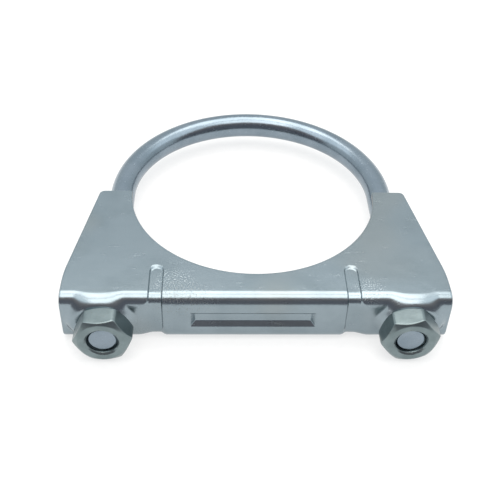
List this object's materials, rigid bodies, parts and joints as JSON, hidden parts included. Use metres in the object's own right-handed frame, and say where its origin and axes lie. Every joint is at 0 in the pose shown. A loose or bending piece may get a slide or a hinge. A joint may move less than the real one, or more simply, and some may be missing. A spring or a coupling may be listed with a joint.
{
  "type": "u-bolt pipe clamp",
  "caption": "Zinc-plated U-bolt clamp for a round pipe: threaded bent rod, pressed channel saddle with cut-out flanges, and hexagon nuts.",
  "frame": {"origin": "centre of the pipe as it lies in the saddle's two cut-outs, halfway up the channel", "axes": "+Z along the pipe's axis, -Y from the pipe towards the nuts, +X to the right seen from the nuts"},
  "size_m": [0.1276, 0.1307, 0.019],
  "materials": {
    "zinc_rod": "bright clear zinc plate on drawn rod, with faint draw marks along it",
    "zinc_sheet": "clear blue zinc plate on smooth pressed sheet, bright on the bends, lightly scuffed",
    "zinc_nut": "satin clear zinc plate on a cold-formed nut, slightly grey-green"
  },
  "bodies": {
    "saddle": {"saddle": "zinc_sheet"},
    "u_bolt": {"u_bolt": "zinc_rod"},
    "nut_left": {"nut_left": "zinc_nut"},
    "nut_right": {"nut_right": "zinc_nut"}
  },
  "joints": [
    {"name": "bolt_draw", "type": "slide", "parent": "saddle", "child": "u_bolt", "axis": [0, -1, 0], "range_m": [0, 0.0096]},
    {"name": "nut_left_turn", "type": "hinge", "parent": "saddle", "child": "nut_left", "pos_m": [-0.0495, -0.06295, 0], "axis": [0, 1, 0], "range_deg": [0, 2304]},
    {"name": "nut_right_turn", "type": "hinge", "parent": "saddle", "child": "nut_right", "pos_m": [0.0495, -0.06295, 0], "axis": [0, 1, 0], "range_deg": [0, 2304]}
  ],
  "couplings": [
    {"joint": "nut_left_turn", "follows": "bolt_draw", "rad_per_m": 4188.8},
    {"joint": "nut_right_turn", "follows": "bolt_draw", "rad_per_m": 4188.8}
  ]
}
